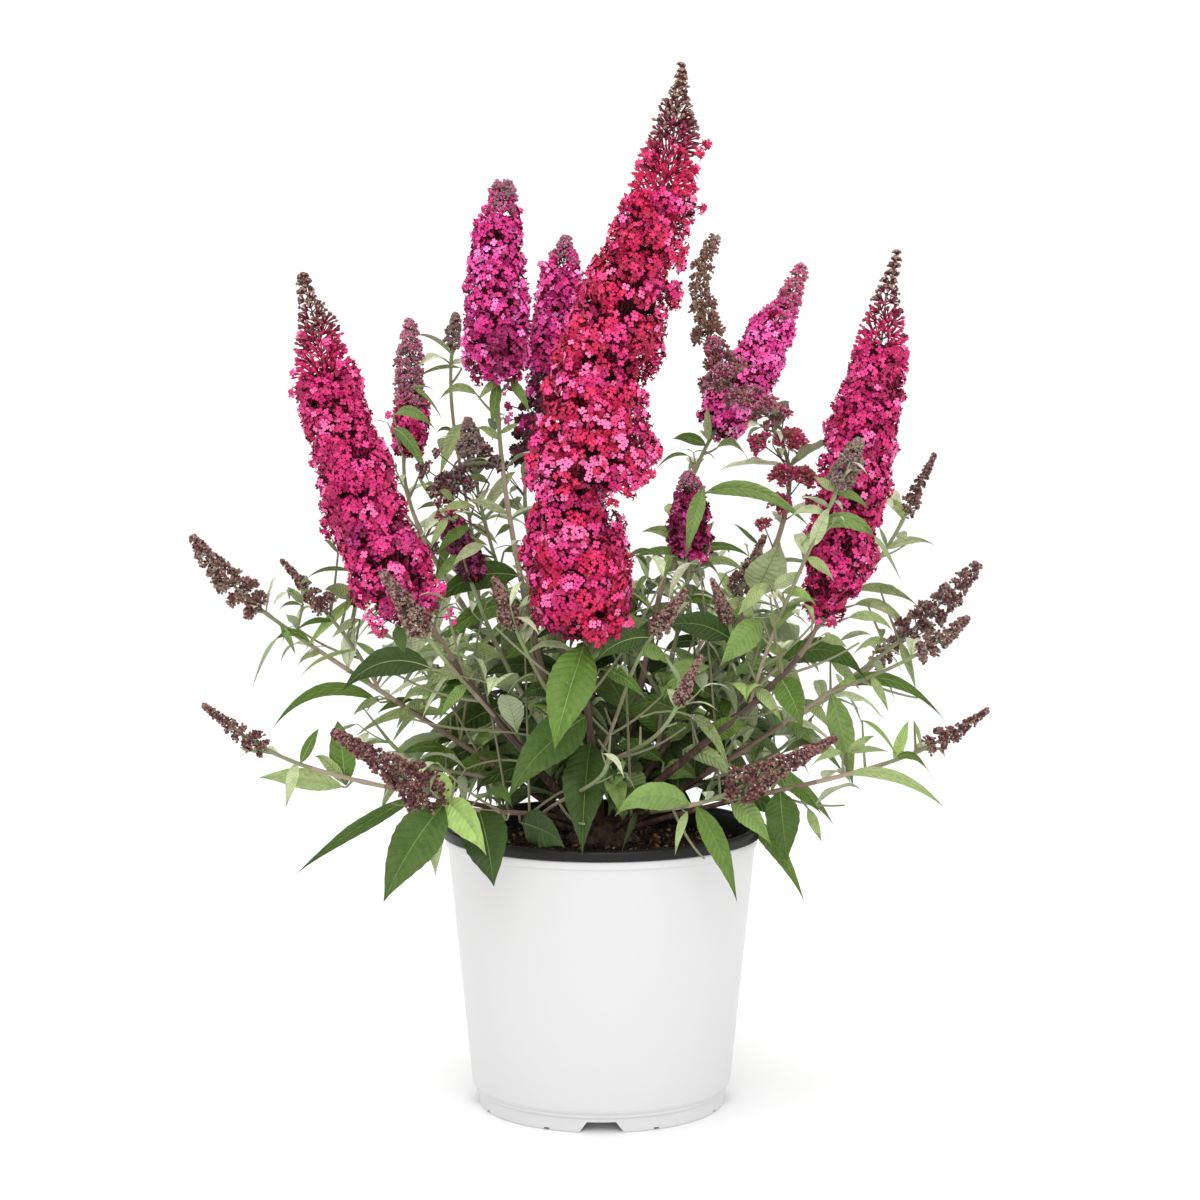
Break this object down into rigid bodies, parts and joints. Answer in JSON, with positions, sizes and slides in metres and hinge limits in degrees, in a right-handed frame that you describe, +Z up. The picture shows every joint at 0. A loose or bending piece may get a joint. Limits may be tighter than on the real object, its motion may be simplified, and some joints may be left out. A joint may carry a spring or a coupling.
{
  "type": "potted butterfly bush",
  "caption": "Flowering butterfly bush in a round nursery pot: canes fan out of one woody crown, with lance-shaped leaves, upright pink flower spikes and dark bud spikes.",
  "frame": {"origin": "centre of the pot's flat underside", "axes": "+Z up along the pot's axis; -Y is the front, where the tallest spike leans forward; +X is to the right seen from the front"},
  "size_m": [0.5518, 0.4175, 0.7289],
  "materials": {
    "white_plastic": "white moulded polypropylene, satin",
    "black_plastic": "black moulded polypropylene, satin",
    "potting_mix": "damp bark and peat potting mix, rough",
    "bark": "dark purple-brown young bark, ridged",
    "blossom": "magenta-pink florets, soft",
    "flower_bud": "dark maroon-brown closed buds",
    "foliage": "green leaves, felted grey-green when young"
  },
  "bodies": {
    "root": {"pot": "white_plastic", "pot_rim": "black_plastic", "soil": "potting_mix", "root_crown": "bark", "cane_spire_centre": "bark", "cane_spire_left": "bark", "cane_spire_back_left": "bark", "cane_spire_back": "bark", "cane_spire_back_right": "bark", "cane_fading_spire": "bark", "cane_spire_right": "bark", "cane_spire_far_left": "bark", "cane_bud_left": "bark", "cane_bud_left_low": "bark", "cane_bud_front_left": "bark", "cane_bud_front_right": "bark", "cane_bud_right": "bark", "cane_bud_right_low": "bark", "cane_bud_rear_left": "bark", "cane_bud_rear": "bark", "cane_bud_rear_right": "bark", "cane_bud_far_right": "bark", "spire_centre": "blossom", "spire_left": "blossom", "spire_back_left": "blossom", "spire_back": "blossom", "spire_back_right": "blossom", "fading_spire": "flower_bud", "spire_right": "blossom", "spire_far_left": "blossom", "spire_inner_right": "blossom", "spire_inner_left": "blossom", "spire_far_back": "blossom", "spire_rear_left": "blossom", "spire_rear_right": "blossom", "bud_left": "flower_bud", "bud_left_low": "flower_bud", "bud_front_left": "flower_bud", "bud_front_right": "flower_bud", "bud_right": "flower_bud", "bud_right_low": "flower_bud", "bud_rear_left": "flower_bud", "bud_rear": "flower_bud", "bud_rear_right": "flower_bud", "bud_far_right": "flower_bud", "leafy_front": "foliage", "leafy_left": "foliage", "leafy_right": "foliage", "leafy_rear_left": "foliage", "leafy_rear": "foliage", "leafy_rear_right": "foliage"}
  },
  "joints": []
}
